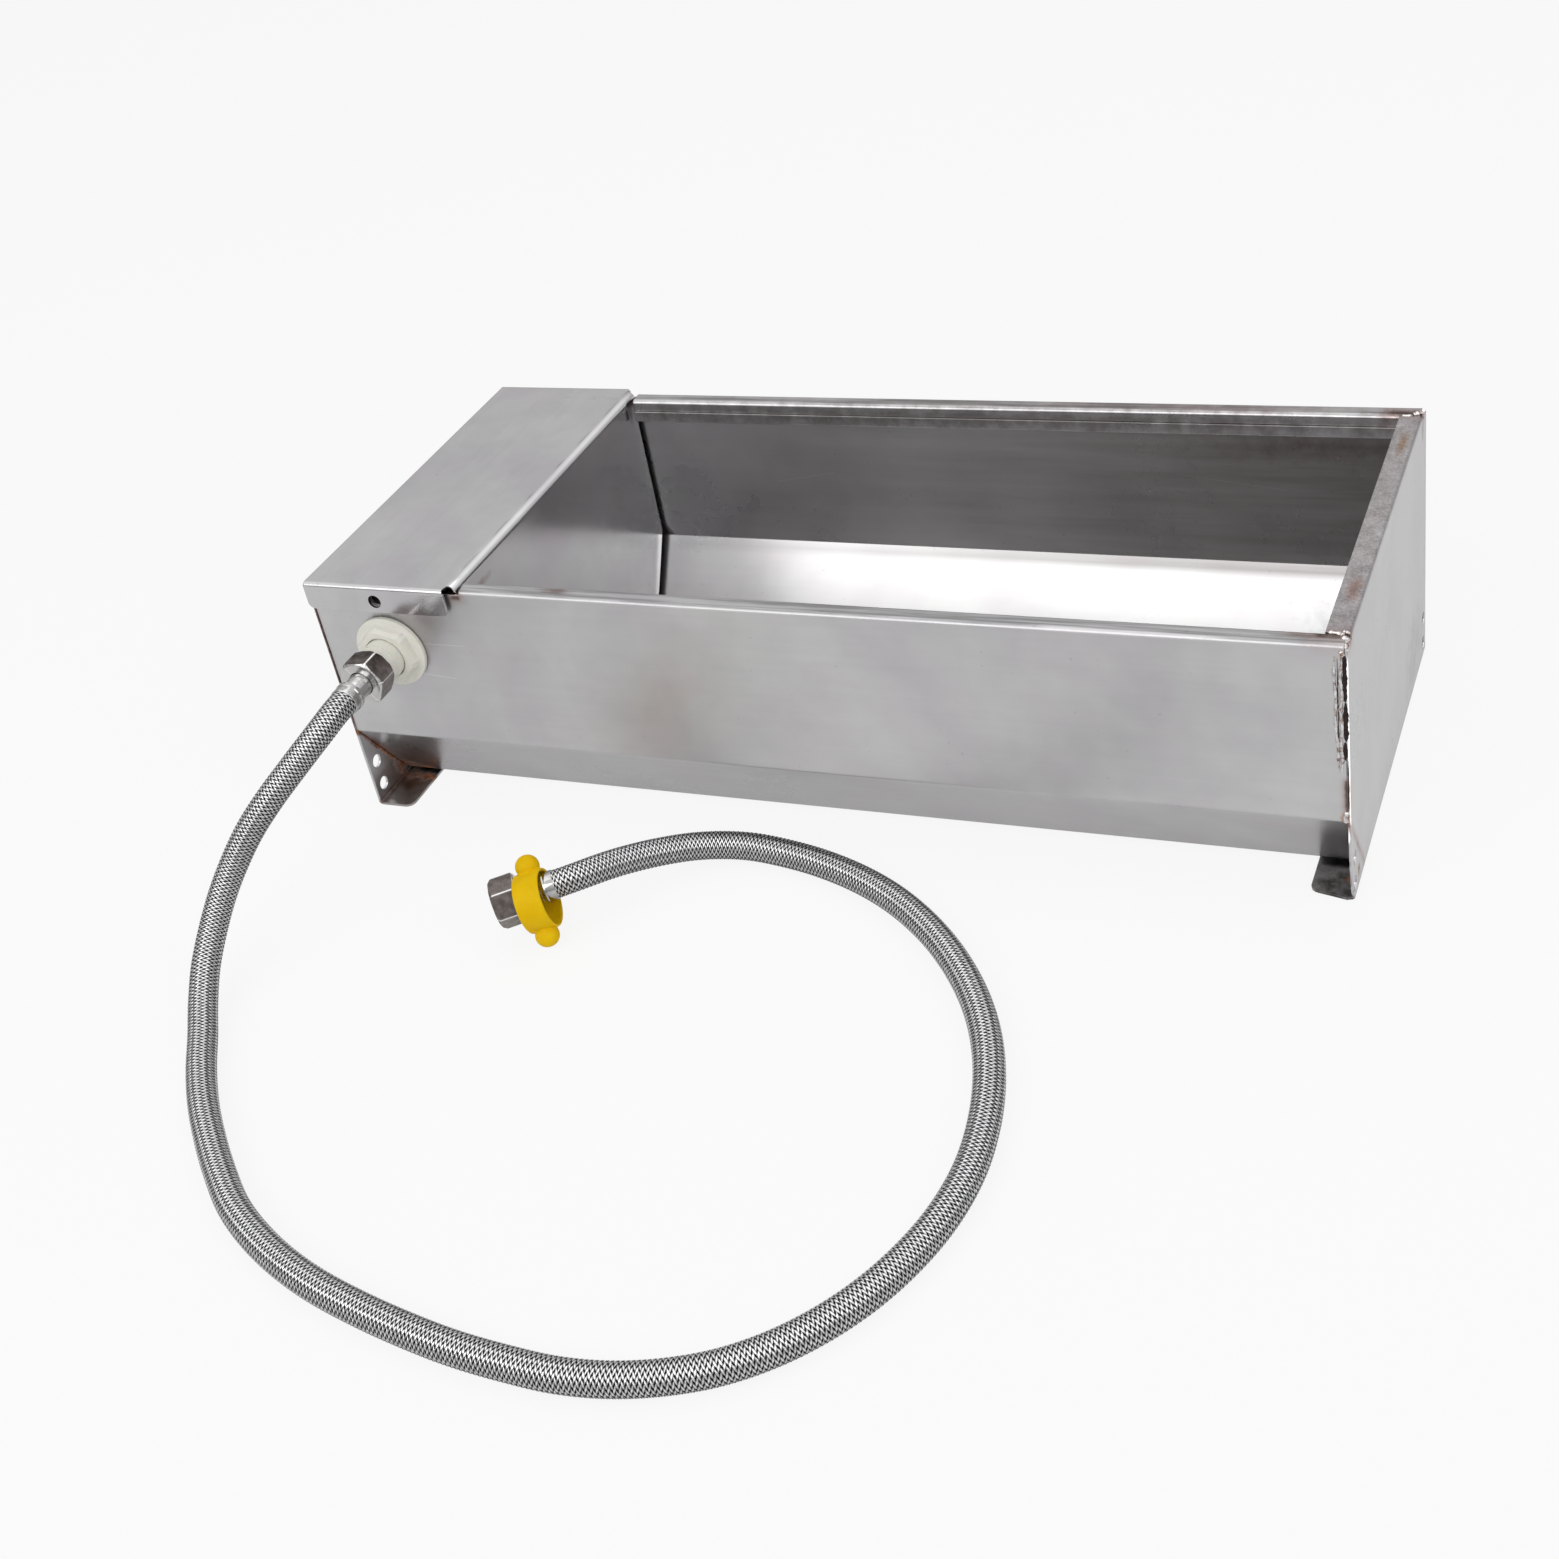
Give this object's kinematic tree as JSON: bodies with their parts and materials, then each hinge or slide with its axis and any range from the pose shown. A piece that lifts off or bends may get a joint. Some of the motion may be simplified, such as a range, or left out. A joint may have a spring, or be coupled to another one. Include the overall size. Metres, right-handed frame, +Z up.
{
  "type": "livestock drinking trough",
  "caption": "Long low drinking trough of bent stainless sheet with a float valve under a lift-off cover at one end, fed from the front wall by a braided hose.",
  "frame": {"origin": "on the ground, under the middle of the box round the rigid pieces: the valve stem reaches further forward than the cover's back skirt, so the trough's own middle lies at y = 0.01035 m", "axes": "+X along the trough away from the valve compartment, +Y from the hose side to the back, +Z up"},
  "size_m": [0.5094, 0.5393, 0.1365],
  "materials": {
    "stainless": "bent stainless sheet, mill finish, lightly smudged, heat tint at the welds",
    "chrome": "bright plated brass fittings",
    "brass": "plain machined brass",
    "white_plastic": "ivory moulded plastic",
    "yellow_plastic": "yellow moulded plastic",
    "float_plastic": "white blown plastic",
    "rubber": "plain black rubber",
    "braid": "woven stainless wire braid"
  },
  "bodies": {
    "trough": {"trough_shell": "stainless", "left_end_panel": "stainless", "right_end_panel": "stainless", "cover_nut_front": "stainless", "cover_nut_back": "stainless", "valve_body": "white_plastic", "body_gasket": "rubber", "inlet_backnut": "white_plastic", "valve_seat": "brass", "lever_pin": "brass", "pin_clip": "stainless", "inlet_washer": "rubber", "inlet_tail": "chrome", "inlet_ferrule": "chrome", "hose": "braid", "supply_ferrule": "chrome", "supply_tail": "chrome", "supply_washer": "rubber"},
    "cover": {"valve_cover": "stainless"},
    "float_arm": {"float_lever": "brass", "float_rod": "brass", "float_nut": "brass", "float": "float_plastic"},
    "piston": {"piston": "brass", "piston_seal": "rubber"},
    "inlet_nut": {"inlet_union_nut": "chrome"},
    "supply_coupling": {"supply_nut": "chrome", "hand_grip": "yellow_plastic"}
  },
  "joints": [
    {"name": "cover_lift", "type": "slide", "parent": "trough", "child": "cover", "axis": [0, 0, 1], "range_m": [0, 0.14]},
    {"name": "float_pivot", "type": "hinge", "parent": "trough", "child": "float_arm", "pos_m": [-0.21, -0.06265, 0.0875], "axis": [1, 0, 0], "range_deg": [0, 26]},
    {"name": "piston_slide", "type": "slide", "parent": "trough", "child": "piston", "axis": [0, -1, 0], "range_m": [0, 0.00405]},
    {"name": "inlet_nut_turn", "type": "hinge", "parent": "trough", "child": "inlet_nut", "pos_m": [-0.21, -0.11565, 0.0995], "axis": [0, -1, 0], "continuous": true},
    {"name": "supply_nut_turn", "type": "hinge", "parent": "trough", "child": "supply_coupling", "pos_m": [-0.1273, -0.18095, 0.0193], "axis": [0.8491, 0.511, 0.134], "continuous": true}
  ],
  "couplings": [
    {"joint": "piston_slide", "follows": "float_pivot", "m_per_rad": 0.008923}
  ]
}
